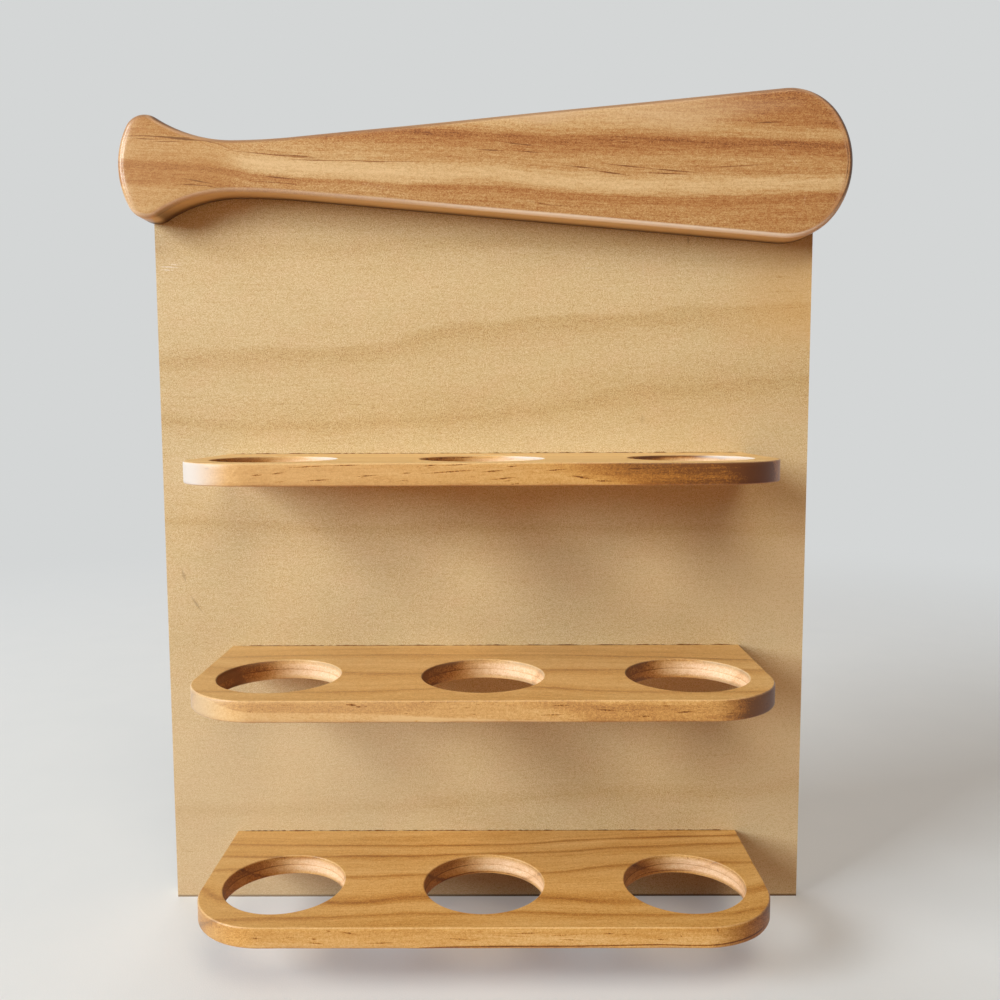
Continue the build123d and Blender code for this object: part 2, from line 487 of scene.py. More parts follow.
# %% The grids of a shelf
def with_height(plan, height):
    """Points of a plan, with their heights, as points in space."""
    return np.concatenate([plan, np.broadcast_to(height, plan.shape[:-1])[..., None]], -1)


def seat_wall(centre, top, seed):
    """A seat's wall: a circle carried down from the top rim to the bottom rim.

    Its radius is larger by a quarter round at both rims. In its lower half the circle's middle
    is moved by the mismatch of the two saw cuts.
    """
    out, down, worn = quarter_round()
    drop = np.concatenate([down * SEAT_EDGE, SEAT_ROWS, THICKNESS - down[::-1] * SEAT_EDGE])
    flare = np.concatenate([1 - out, np.zeros(4), 1 - out[::-1]]) * SEAT_EDGE
    moved = np.concatenate([0 * out, [0, 0, 1, 1], out[::-1]]) * SAW_MISMATCH
    wear = np.concatenate([worn, np.zeros(4), worn[::-1]])
    inside = np.concatenate([0 * out, np.ones(4), 0 * out])
    radius = SEAT_RADIUS + flare[:, None] + moved[:, None] * np.cos(fan - seed)
    radius = radius + SEAT_WEAR * wear[:, None] * waves(fan / (2 * np.pi), seed)
    plan = np.stack([centre + radius * np.cos(fan), SEAT_Y + radius * np.sin(fan)], -1)
    carried = {"edge": wear[:, None], "wall": inside[:, None]}
    return with_height(plan, (top - drop)[:, None]), True, carried


def shelf_grids(top, seed):
    """All the grids of one shelf, whose top face is at height `top`.

    Each of its three parts gives a top and an underside, blended from the seat's rim to the
    part's border, and a seat's wall. The borders, joined up, carry the outer side, and a last
    grid closes the back.
    """
    grids, walls, backs = [], [], []
    across = np.array([0, 0.012, 0.12, 0.35, 0.65, 0.88, 0.988, 1.0])[:, None, None]
    back_turn = math.atan2(to_back, to_side)
    front_turn = math.atan2(to_front, to_part) % (2 * math.pi)
    mirrored_turn = (math.pi - front_turn) % (2 * math.pi)
    parts = (
        (-SEAT_SPACING, -to_side, to_part, math.pi - back_turn, front_turn),
        (0.0, -to_part, to_part, mirrored_turn, front_turn),
        (SEAT_SPACING, -to_part, to_side, mirrored_turn, back_turn + 2 * math.pi),
    )
    rim = (SEAT_RADIUS + SEAT_EDGE) * np.stack([np.cos(fan), np.sin(fan)], 1)
    for i, (centre, left, right_end, begin, end) in enumerate(parts):
        border, faces = part_border(fan, left, right_end)
        plan = rim * (1 - across) + border * across + [centre, SEAT_Y]
        for height in (top, top - THICKNESS):
            grids.append((with_height(plan, height), True, {"edge": 0.0, "wall": 0.0}))
        grids.append(seat_wall(centre, top, seed + i))
        turned = (fan - begin + 1e-6) % (2 * np.pi)
        order = np.argsort(turned)
        order = order[turned[order] <= end - begin + 2e-6]
        walls.append(np.concatenate([border[order] + [centre, SEAT_Y], faces[order]], 1))
        on_back = np.abs(border[:, 1] - to_back) < 1e-6
        backs.append(border[on_back, 0] + centre)

    path = np.concatenate(walls)
    plan, normal = path[:, :2], path[:, 2:]
    normal[0], normal[-1] = (-1, 0), (1, 0)
    out, down, worn = quarter_round()
    drop = np.concatenate([down * EDGE, SIDE_ROWS, THICKNESS - down[::-1] * EDGE])
    away = np.concatenate([out, np.ones(3), out[::-1]]) * EDGE
    wear = np.concatenate([worn, np.zeros(3), worn[::-1]])
    steps = np.hypot(*np.diff(plan, axis=0, prepend=plan[:1]).T)
    share = np.cumsum(steps) / steps.sum()
    sanded = away[:, None] - EDGE_WEAR * wear[:, None] * (1 + waves(share, seed + 5, 24))
    outer = with_height(plan + normal * sanded[..., None], (top - drop)[:, None])
    grids.append((outer, False, {"edge": wear[:, None], "wall": 0.0}))

    rounded = len(out)
    inner = np.unique(np.round(np.concatenate(backs), 6))[1:-1]
    xs = np.concatenate([outer[:rounded, 0, 0][::-1], inner, outer[:rounded, -1, 0]])
    eased = np.concatenate([drop[:rounded][::-1], np.zeros(len(inner)), drop[:rounded]])
    rows = np.stack([eased, *(np.full_like(eased, row) for row in SIDE_ROWS), THICKNESS - eased])
    back = np.stack([np.broadcast_to(xs, rows.shape), np.full(rows.shape, BACK_Y), top - rows], -1)
    grids.append((back, False, {"edge": 0.0, "wall": 0.0}))
    return grids


print("grids of a shelf:", len(shelf_grids(0.0, 1)))

# %% [markdown]
# ## The bat
# The plaque is cut from a 19 mm board to the outline of a bat, and its front edges are
# rounded over by 3.5 mm. The outline is four arcs and a line, with the knob's corner and
# the barrel's shoulder rounded off. Only the half above the axis is worked out. A curve that
# is moved in along its normals gives the rounded edge, and then every point of it slides
# straight down to the axis, which closes the face. KNOB, HANDLE and SHOULDER are points of
# the outline, given from the knob's end and the axis.

# %% Sizes of the bat in millimetres
BAT_LENGTH = 410.7
BAT_LEFT = 1.4 - BAT_LENGTH / 2
BAT_AXIS = 214.6
BAT_BACK_Y = -12.0
BAT_FRONT_Y = -31.0
BAT_EDGE = 3.5
BAT_WEAR = 0.25
BAT_CROWN = 0.35
KNOB = (13.2, 33.15)
KNOB_CORNER = 11.7
HANDLE = (64.2, 14.4)
SHOULDER = (384.2, 42.1)
SHOULDER_ROUND = 33.5
TAPER_BLEND = 36.2
taper_angle = math.atan2(SHOULDER[1] - HANDLE[1], SHOULDER[0] - HANDLE[0] - TAPER_BLEND / 2)
TAPER_START = (HANDLE[0] + TAPER_BLEND, HANDLE[1] + TAPER_BLEND * math.tan(taper_angle / 2))
print("the taper opens by", round(math.degrees(taper_angle), 2), "degrees")


# %% The bat's outline
def arc(middle, radius, start, end, count):
    """Points on a circle between two of its points, the short way round, and their directions."""
    first = math.atan2(start[1] - middle[1], start[0] - middle[0])
    last = math.atan2(end[1] - middle[1], end[0] - middle[0])
    turn = np.linspace(first, first + (last - first + np.pi) % (2 * np.pi) - np.pi, count)
    way = np.stack([np.cos(turn), np.sin(turn)], 1)
    return np.asarray(middle) + radius * way, way


def circles_meet(first, r1, second, r2, side):
    """One of the two points that are r1 from the first middle and r2 from the second."""
    first, second = np.asarray(first), np.asarray(second)
    gap = second - first
    d = math.hypot(*gap)
    along = (d * d + r1 * r1 - r2 * r2) / (2 * d)
    off = side * math.sqrt(r1 * r1 - along * along)
    return first + gap / d * along + np.array([-gap[1], gap[0]]) / d * off


def bat_outline():
    """The upper half of the outline, from the knob's end to the barrel's, with its normals."""
    end_radius = (KNOB[0] ** 2 + KNOB[1] ** 2) / (2 * KNOB[0])
    end_middle = np.array([end_radius, 0])
    run, rise = HANDLE[0] - KNOB[0], KNOB[1] - HANDLE[1]
    neck_radius = (run**2 + rise**2) / (2 * rise)
    neck_middle = np.array([HANDLE[0], HANDLE[1] + neck_radius])
    blend, lift = TAPER_START[0] - HANDLE[0], TAPER_START[1] - HANDLE[1]
    blend_radius = (blend**2 + lift**2) / (2 * lift)
    blend_middle = np.array([HANDLE[0], HANDLE[1] + blend_radius])
    tip = BAT_LENGTH - SHOULDER[0]
    tip_radius = (tip**2 + SHOULDER[1] ** 2) / (2 * tip)
    tip_middle = np.array([BAT_LENGTH - tip_radius, 0])

    inside, outside = end_radius - KNOB_CORNER, neck_radius + KNOB_CORNER
    corner = circles_meet(end_middle, inside, neck_middle, outside, 1)
    corner_start = end_middle + (corner - end_middle) * end_radius / math.dist(corner, end_middle)
    corner_end = neck_middle + (corner - neck_middle) * neck_radius / math.dist(corner, neck_middle)

    along = np.subtract(SHOULDER, TAPER_START) / math.dist(SHOULDER, TAPER_START)
    above = np.array([-along[1], along[0]])
    foot = np.array(TAPER_START) - above * SHOULDER_ROUND
    way = tip_middle - foot
    reach = tip_radius - SHOULDER_ROUND
    shoulder = foot + along * (way @ along + math.sqrt(reach**2 - (way @ above) ** 2))
    line_end = shoulder + above * SHOULDER_ROUND
    tip_start = tip_middle + (shoulder - tip_middle) * tip_radius / math.dist(shoulder, tip_middle)

    end_arc, end_way = arc(end_middle, end_radius, (0, 0), corner_start, 24)
    corner_arc, corner_way = arc(corner, KNOB_CORNER, corner_start, corner_end, 20)
    neck_arc, neck_way = arc(neck_middle, neck_radius, corner_end, HANDLE, 28)
    blend_arc, blend_way = arc(blend_middle, blend_radius, HANDLE, TAPER_START, 14)
    line = np.linspace(TAPER_START, line_end, 90)
    shoulder_arc, shoulder_way = arc(shoulder, SHOULDER_ROUND, line_end, tip_start, 30)
    tip_arc, tip_way = arc(tip_middle, tip_radius, tip_start, (BAT_LENGTH, 0), 20)
    points = [end_arc, corner_arc, neck_arc, blend_arc, line, shoulder_arc, tip_arc]
    line_way = np.broadcast_to(above, line.shape)
    ways = [end_way, corner_way, -neck_way, -blend_way, line_way, shoulder_way, tip_way]
    firsts = [0] + [1] * 6
    return tuple(
        np.concatenate([curve[first:] for curve, first in zip(curves, firsts)])
        for curves in (points, ways)
    )


# %% The bat's grids
def bat_grids():
    """The upper half as one grid from the back's axis round the edge to the front's axis, and
    the lower half as its mirror picture."""
    outline, normal = bat_outline()
    normal[0], normal[-1] = (-1, 0), (1, 0)
    out, down, worn = quarter_round(9)
    steps = np.hypot(*np.diff(outline, axis=0, prepend=outline[:1]).T)
    share = np.cumsum(steps) / steps.sum() / 2
    grids = []
    for sign in (1, -1):
        uneven = BAT_WEAR * waves(share if sign > 0 else 1 - share, 71, 9)
        uneven = uneven * np.sin(2 * np.pi * share) ** 2
        inset = np.concatenate([[0.35, 0.1, 0, 0, 0], (1 - out[::-1]) * BAT_EDGE])
        board = BAT_BACK_Y - BAT_FRONT_Y - BAT_CROWN
        depth = np.concatenate([[0, 0.1, 0.35, 4.5, 9], board - down[::-1] * BAT_EDGE])
        wear = np.concatenate([[0.6, 1, 0.6, 0, 0], worn[::-1]])
        inset = inset[:, None] + uneven * np.concatenate([np.zeros(5), worn[::-1]])[:, None]
        side = outline - normal * inset[..., None]
        side_y = np.broadcast_to(BAT_BACK_Y - depth[:, None], side.shape[:2])
        slide = np.array([1.0, 0.7, 0.4, 0.15, 0.03, 0.008])[:, None]
        back = side[0] * np.stack([np.ones_like(slide), 1 - slide], -1)
        front = side[-1] * np.stack([np.ones_like(slide), 1 - slide], -1)
        front_y = BAT_FRONT_Y + BAT_CROWN * np.exp(-side[-1][:, 1] * slide / BAT_EDGE)[::-1]
        back_y = np.full(back.shape[:2], BAT_BACK_Y)
        plan = np.concatenate([back, side, front[::-1]])
        ys = np.concatenate([back_y, side_y, front_y])
        marks = np.concatenate([np.zeros(6), wear, np.zeros(6)])[:, None]
        points = np.stack([BAT_LEFT + plan[..., 0], ys, BAT_AXIS + sign * plan[..., 1]], -1)
        grids.append((points, False, {"edge": marks}))
    return grids


bat_shape = bat_grids()
print("bat grid:", bat_shape[0][0].shape)

# %% [markdown]
# ## Pine, as a tone from pale to dark
# Wood is one colour family, so each recipe first adds up a single number, the tone: 0 is the
# palest sapwood, 1 the darkest ring. Rings, fibres, canals and stains each push it up or
# down, and one ramp turns it into colour at the end. The pieces stay in tune that way.

# %% What all pine has
def fibres(x, across, through):
    """Streaks along the grain in three sizes, around 0."""
    fine = noise(x / 14, across / 0.42, through / 0.42)
    middle = noise(x / 32, across / 1.2, through / 1.2)
    broad = noise(x / 90, across / 3.6, through / 3.6)
    return fine * 0.55 + middle * 0.45 + broad * 0.35


def canals(x, across, through, share):
    """Resin canals: dark dashes a few millimetres long and finer than a hair."""
    return dashes(x / 26, across / 1.3, through / 1.3, share, 0.13)


def vectors(operation, output, *values):
    """One Vector Math node on Fields and plain vectors or numbers."""
    node = tree_of(*values).nodes.new("ShaderNodeVectorMath")
    node.operation = operation
    for name, value in zip(("Scale", 0) if operation == "SCALE" else (0, 1), values):
        put(node, name, value)
    return Field(node.outputs[output])


def mark(place, start, end, width):
    """A pointed stroke: 1 on the line from start to end, 0 half a width away from it.

    The line's nearest point is start + t * (end - start), with t kept between 0 and 1. The
    stroke thins towards both ends, where t is 0 or 1.
    """
    way = np.subtract(end, start)
    offset = vectors("SUBTRACT", "Vector", place, (*start, 0.0))
    t = clamp(vectors("DOT_PRODUCT", "Value", offset, (*(way / (way @ way)).tolist(), 0.0)))
    nearest = vectors("SCALE", "Vector", t, (*way.tolist(), 0.0))
    off = vectors("DISTANCE", "Value", offset, nearest)
    thinned = off + maths("ABSOLUTE", t - 0.5) * (width * 0.7)
    return soft_step(thinned, width * 0.5, width * 0.1)


def marks(place, strokes):
    """Many strokes at once, each given as (start, end, width) or (start, end, width, strength)."""
    drawn = None
    for start, end, width, *strength in strokes:
        stroke = mark(place, start, end, width)
        stroke = stroke * strength[0] if strength else stroke
        drawn = maths("MAXIMUM", drawn, stroke) if drawn else stroke
    return drawn


def grit(x, y, z, coarse=1.0):
    """Grain at the limit of what the eye can see, nearly the same in all directions."""
    finest = noise(x / 0.62, y / 0.5, z / 0.5, 1.0) * 0.8
    larger = noise(x / 1.3, y / 0.9, z / 0.9) * 0.6 + noise(x / 2.8, y / 1.5, z / 1.5) * 0.3
    return finest + larger * coarse


# %% [markdown]
# ## The bat's wood
# The bat is the warmest piece. Two dark growth rings sweep along it with a pale band between
# them. Each ring begins with a hard upper edge, where one winter stopped the growth, and
# fades downwards. Three drawn lines carry all of it.

# %% Bat material
# Each grain line is (straightened height, points). Each tone is (straightened height, tone).
BAT_SPAN = (-206.0, 208.0)
BAT_LEAN = 0.30
BAT_LINES = (
    (200, ((-201, 217), (-185, 215.6), (-156, 214.7), (-146, 213.2), (-137, 211.6),
        (-125, 209.0), (-105, 207.6), (-78, 206.2), (-51, 203.9), (-24, 202.1), (0, 202.1),
        (27, 200.4), (55, 197.8), (84, 196.3), (112, 195.8), (141, 196.2), (169, 197.2),
        (205, 197.6))),
    (213, ((-201, 230), (-179, 229.4), (-158, 227.7), (-147, 225.6), (-137, 221.4),
        (-125, 218.6), (-105, 216.8), (-78, 215.8), (-51, 214.9), (-24, 214.6), (0, 214.0),
        (27, 211.2), (55, 209.4), (84, 207.8), (112, 207.9), (141, 207.9), (169, 206.9),
        (205, 207.6))),
    (231, ((-201, 250), (-140, 240), (-80, 234.5), (-24, 232.4), (0, 230.7), (27, 228.6),
        (55, 227.9), (84, 228.1), (112, 226.9), (141, 225.7), (169, 224.5), (205, 223.2))),
)
BAT_TONES = (
    (160, 0.50), (178, 0.50), (188, 0.54), (194, 0.58), (198, 0.63), (199.7, 0.68), (201.2, 0.46),
    (203.5, 0.28), (207, 0.15), (210.5, 0.20), (212.6, 0.33), (214.2, 0.49), (218, 0.48),
    (222, 0.48), (224, 0.58), (227.5, 0.69), (230.6, 0.80), (232, 0.75), (234, 0.54), (237, 0.42),
    (241, 0.37), (246, 0.35), (252, 0.40), (262, 0.42),
)
BAT_COLOURS = palette(
    (0.0, 222, 190, 142), (0.2, 210, 177, 127), (0.4, 197, 157, 104), (0.55, 184, 139, 84),
    (0.7, 172, 118, 65), (0.85, 158, 100, 49), (1.0, 122, 70, 32),
)
# Fine dark lines lie on the straightened board, dashes and scratches on the face. Each is
# (start, end, width), and a fourth number makes it stronger or weaker.
BAT_DARK = (
    ((-200, 213.6), (-138, 213.9), 1.8, 1.3), ((-118, 216.2), (-88, 214.8), 1.0),
    ((-92, 213.6), (-30, 214.2), 0.9), ((12, 227.0), (30, 226.6), 1.0),
    ((-172, 189.0), (-146, 188.6), 1.0), ((-132, 196.5), (-96, 195.8), 0.9, 0.7),
    ((20, 193.5), (62, 193.0), 0.9, 0.6),
)
BAT_DASHES = (
    ((44, 213.7), (65, 211.5), 1.0), ((60, 211.0), (83, 207.8), 1.2),
    ((65, 214.7), (96, 211.4), 0.9), ((90, 211.9), (121, 209.1), 1.1),
    ((88, 209.6), (115, 208.3), 0.9), ((-4, 222.6), (13, 221.4), 1.1),
    ((18, 221.6), (34, 220.4), 0.9), ((121, 211.8), (162, 213.7), 0.9, 0.7),
    ((-196, 229.6), (-179, 228.4), 1.0), ((-184, 227.4), (-165, 227.6), 1.0),
    ((-168, 207.7), (-149, 204.3), 1.0), ((-143, 222.7), (-85, 217.0), 0.9),
    ((-107, 217.4), (-76, 216.5), 1.0), ((-127, 209.1), (-101, 206.4), 1.0),
    ((150, 236), (166, 236.4), 1.0),
)
BAT_SCRATCHES = (
    ((162, 225.5), (171, 218), 0.7, 0.7), ((170, 219), (177.5, 209.4), 0.7),
    ((180, 199), (179, 190), 0.7, 0.8), ((179, 190), (175.5, 181.6), 0.7, 0.8),
    ((183, 202.3), (195, 206.6), 0.6, 0.6), ((146, 206), (151, 202), 0.6, 0.7),
    ((154, 205), (163, 198), 0.6, 0.6), ((62, 241), (70, 238), 0.6, 0.6),
    ((118, 214), (127, 206), 0.6, 0.5),
)
BAT_SCUFF = (((-70, 205), (-48, 200), 7.0),)
BAT_HAZE = (
    ((4, 240), (66, 241), 15.0), ((50, 240), (176, 246), 34.0, 0.7),
    ((70, 239), (130, 243), 12.0, 0.8),
)

bat_wood, (x, y, z) = start_material("bat varnished pine")
edge = attribute(bat_wood, "edge")
facing_x, _, facing_z = facing(bat_wood)
under = soft_step(facing_z, -0.1, -0.5)
height = z + (y - BAT_FRONT_Y) * BAT_LEAN
height = height + noise(x / 70, z / 14, y / 14) * 0.8 + noise(x / 26, z / 1.6, y / 1.6) * 0.6
grain = straighten(x, height, BAT_LINES, BAT_SPAN)
fibre = fibres(x, grain, y)
canal = canals(x, grain, y, 0.30)
on_knob = soft_step(x, -128, -150)
pale_band = soft_step(grain, 200, 206) - soft_step(grain, 209, 214)
tone = profile(grain, BAT_TONES) + noise(x / 110, grain / 12, y / 12) * 0.06
tone = tone + on_knob * (pale_band * 0.16 - soft_step(grain, 190, 186) * 0.24 + 0.10)
barrel_top = soft_step(x, 105, 160) * soft_step(grain, 237, 243)
tone = tone + soft_step(x, 40, 200) * 0.06 + barrel_top * 0.34
spot = join(x, z, 0.0)
lines = maths("MAXIMUM", marks(join(x, grain, 0.0), BAT_DARK), marks(spot, BAT_DASHES))
lines = lines * soft_step(noise(x / 9, grain / 0.8, 5.0), -1.4, -0.2)
fine = grit(x, z, y)
tone = tone + fibre * 0.24 + fine * 0.31 + canal * 0.30 + lines * 0.58
tone = tone - (soft_step(x, -150, -120) - soft_step(x, -60, -20)) * 0.07
# Painted shade: the edges that face up or left are made darker.
tone = tone + edge * (soft_step(facing_z, 0.1, 0.6) * 0.1 + soft_step(facing_x, -0.3, -0.8) * 0.16)
bat_wood_tone = clamp(tone)
colour = ramp(bat_wood_tone, BAT_COLOURS)
colour = mix(colour, srgb(184, 138, 78), on_knob * 0.3)
colour = mix(colour, srgb(104, 72, 38), lines * 0.4)
haze = marks(spot, BAT_HAZE)
colour = mix(colour, srgb(210, 178, 142), haze * 0.4)
# Painted shade darkens the edges that face up and all that faces right, and a painted highlight
# makes a pale ring inside the right edge. The lower edge is rubbed pale and given a painted
# highlight, the underside gets painted light, and a painted contact shadow makes the bat's foot
# on the panel darkest.
colour = mix(colour, srgb(150, 110, 76), edge * soft_step(facing_z, 0.0, 0.5) * 0.8)
rim = soft_step(facing_x, 0.04, 0.14) * soft_step(facing_x, 0.34, 0.2)
colour = mix(colour, srgb(222, 174, 130), rim * 0.35)
colour = mix(colour, srgb(98, 66, 40), soft_step(facing_x, 0.22, 0.55) * 0.9)
# The lower edge is rubbed pale and carries a painted highlight, stronger towards the barrel.
rubbed_crest_and_highlight = soft_step(edge, 0.25, 0.9) * soft_step(facing_z, -0.12, -0.4)
rubbed_crest_and_highlight = rubbed_crest_and_highlight * soft_step(x, -150, 60, 0.3, 1.0)
colour = mix(colour, srgb(250, 234, 212), rubbed_crest_and_highlight)
# Painted light on the flat underside, which faces down.
underside = soft_step(facing_z, -0.8, -0.97) * soft_step(y, -16, -26, 0.45, 1.0)
colour = mix(colour, srgb(226, 196, 150), underside)
# Painted contact shadow where the bat's foot meets the panel.
colour = mix(colour, srgb(70, 38, 14), soft_step(y, -21, -13.5) * under * 0.9)
scratch = marks(spot, BAT_SCRATCHES) * soft_step(noise(x / 2, z / 2, 1.0), -0.6, 0.6)
scuff = marks(spot, BAT_SCUFF) * soft_step(noise(x / 1.2, z / 0.5, 0.0), 0.0, 0.9)
worn = clamp(scratch + scuff)
colour = mix(colour, srgb(240, 212, 176), worn * 0.5)
finish_material(
    bat_wood,
    colour,
    clamp(0.40 + fibre * 0.04 + worn * 0.2 - bat_wood_tone * 0.04, 0.2, 0.9),
    fibre * 0.5 - canal - worn - lines * 0.5 + fine * 0.3,
    0.03,
    Coat_Weight=0.12,
    Coat_Roughness=0.22,
    Specular_IOR_Level=0.4,
)
print("bat material:", len(bat_wood.node_tree.nodes), "nodes")

# %% [markdown]
# ## The shelves' wood
# The same recipe makes three different boards: each has its own drawn lines, seen from above
# as points (x, y), and its own tones. The rings lean through the thickness, so that they come
# out again on the front edge. The seats' walls were never sanded as fine as the faces, and
# drank less varnish: they are paler and a little pink. Painted light makes the walls that face
# left paler still, and painted shade darkens the right end and the walls that face right.

# %% Shelf materials
SHELF_SPAN = (-157.0, 157.0)
SHELF_COLOURS = palette(
    (0.0, 232, 194, 134), (0.25, 217, 169, 99), (0.45, 201, 148, 74), (0.7, 172, 113, 47),
    (1.0, 112, 66, 27),
)
RAW_COLOURS = palette((0.0, 243, 212, 178), (0.5, 216, 171, 126), (1.0, 134, 82, 46))
# What each word of a board means:
# lean, shift, top: how far the rings lean through the thickness, and what is added to the
#   tone of the whole board or of its top
# lines, tones: the drawn grain lines seen from above, and the tone at each straightened y
# front_lines, front_tones: the same for the front, by depth under the top
# strokes, dashes, ink: dark dashes on the front, the slope and share of the chance ones, and
#   how dark both are
# brown: wide soft strokes on the front. ends: how much darker both ends are. dark_end,
#   dark_wall: painted shade, how much darker the right end and the seats' walls that face right are
# pale_front, pale_top, pale_ends: how much paler the front (left, right), the top and the left
#   end are mixed; on the left end this is a painted highlight, partly paler end grain. grit: how
#   strong the finest grain is
LOWER = dict(
    lean=1.3, grit=0.24, shift=-0.06, ends=0.34, dark_end=0.10, dark_wall=0.22,
    pale_ends=(srgb(170, 142, 106), 0.35), pale_top=0.0, pale_front=(0.05, 0.0), ink=0.6, top=0.0,
    dashes=(0.01, 0.8),
    brown=(((60, -4.5), (100, -5.2), 4.0, 0.12), ((-30, -6.0), (10, -5.4), 4.0, 0.10)),
    front_lines=(
        (-10.2, ((-150, -12.2), (-44, -11.2), (-24, -10.2), (8, -9.6), (40, -9.5), (64, -9.2),
            (90, -8.8), (104, -9.2), (125, -8.7), (150, -8.0))),
        (0, ((-150, 0), (150, 0))),
    ),
    front_tones=(
        (-12, 0.46), (-10.8, 0.50), (-10.5, 1.1), (-10.1, 1.05), (-9.8, 0.44), (-8, 0.42),
        (-5, 0.45), (-2, 0.49), (0.5, 0.50),
    ),
    strokes=(
        ((-71, -2.0), (-62, -3.4), 1.4), ((-88, -7.6), (-78, -8.4), 1.2),
        ((-58, -8.2), (-42, -7.6), 1.0), ((-20, -5.4), (-4, -6.2), 1.0),
        ((14, -3.2), (30, -2.6), 1.0), ((38, -6.0), (50, -6.6), 1.1),
        ((60, -3.0), (66, -3.2), 1.0), ((84, -6.4), (94, -5.8), 1.0),
        ((98, -3.4), (99.5, -5.4), 0.9), ((116.5, -0.8), (117.4, -2.8), 1.1, 1.6),
        ((-77.5, -1.2), (-75.5, -2.0), 1.6, 1.3), ((-86, -5.6), (-82, -6.0), 1.3),
        ((-116, -5.0), (-110, -5.6), 1.0), ((30, -4.4), (48, -3.6), 1.2, 0.7),
        ((2, -4.0), (26, -4.6), 1.1, 0.6),
    ),
    lines=(
        (-110, ((-131, -115), (-69, -112), (9, -108.5), (83, -110.6), (132, -108))),
        (-93, ((-144, -90), (-73, -98), (-32, -93), (31, -93.4), (73, -97.6), (138, -87.4),
            (150, -83))),
        (-64, ((-153, -64), (-126, -62), (-78, -71), (-34, -68), (32, -66), (78, -57),
            (146, -54.5))),
        (-41, ((-154, -46), (-84, -46.3), (-3, -44), (35, -41.7), (79, -35.5), (151, -29))),
        (-28, ((-156, -30.6), (-80, -32.2), (8, -31.3), (56, -24.8), (154, -18.4))),
    ),
    tones=(
        (-140, 0.45), (-131, 0.34), (-124, 0.42), (-117, 0.40), (-113, 0.46), (-110, 0.68),
        (-108, 0.42), (-100, 0.36), (-96, 0.50), (-93, 0.74), (-90.5, 0.54), (-84, 0.38),
        (-70, 0.32), (-66.2, 0.44), (-64, 0.72), (-62, 0.38), (-52, 0.32), (-43.5, 0.42),
        (-41, 0.74), (-39, 0.38), (-32, 0.32), (-29.6, 0.48), (-27.8, 0.76), (-26, 0.38),
        (-18, 0.42), (-10, 0.36),
    ),
)
MIDDLE = dict(
    lean=0.8, grit=0.33, shift=-0.08, ends=0.16, dark_end=0.66, dark_wall=0.55,
    pale_ends=(srgb(183, 163, 135), 0.65), pale_top=0.16, pale_front=(0.40, 0.14), ink=0.6,
    top=0.0, dashes=(-0.02, 0.9),
    brown=(((40, -3.0), (110, -4.0), 6.0, 0.12), ((104, -8.5), (150, -8.8), 5.0, 0.2)),
    front_lines=(
        (-7, ((-150, 1.0), (-138, -0.6), (-126, -3.4), (-114, -5.5), (-64, -6.3), (-48, -6.8),
            (-29, -8.0), (-10, -8.9), (6, -9.4), (48, -10.8), (150, -15))),
        (0, ((-150, 0.6), (150, 0))),
    ),
    front_tones=((-16, 0.24), (-9, 0.24), (-7.3, 0.28), (-6.7, 0.66), (-3, 0.64), (0.5, 0.62)),
    strokes=(
        ((-66, -1.8), (-60, -2.2), 1.6), ((-61, -2.9), (-58, -3.0), 1.2),
        ((-33, -10.2), (-30, -10.0), 1.2), ((34, -2.6), (44, -2.4), 1.3),
        ((28, -7.4), (42, -7.0), 1.0), ((56, -4.6), (66, -5.2), 1.2),
        ((74, -8.0), (84, -8.0), 1.1), ((88, -2.6), (92, -3.0), 1.3),
        ((94, -6.2), (104, -5.6), 1.2),
    ),
    lines=(
        (-105, ((-139, -107), (-73, -107.6), (-31, -102.7), (9, -99.5), (72, -108.8),
            (141, -109.4))),
        (-68, ((-150, -59), (-77, -72), (-32, -74.5), (33, -67), (77, -67.5), (145, -68))),
        (-38, ((-128, -37), (-49, -33.5), (9, -34), (78, -39), (144, -47))),
    ),
    tones=(
        (-140, 0.20), (-131, 0.24), (-128, 0.46), (-120, 0.42), (-110, 0.38), (-107.5, 0.48),
        (-105, 0.74), (-102.5, 0.44), (-90, 0.32), (-78, 0.42), (-72, 0.52), (-68, 0.72),
        (-65.5, 0.40), (-55, 0.28), (-46, 0.36), (-40.5, 0.52), (-38, 0.72), (-35.5, 0.38),
        (-26, 0.48), (-20, 0.32), (-10, 0.40),
    ),
)
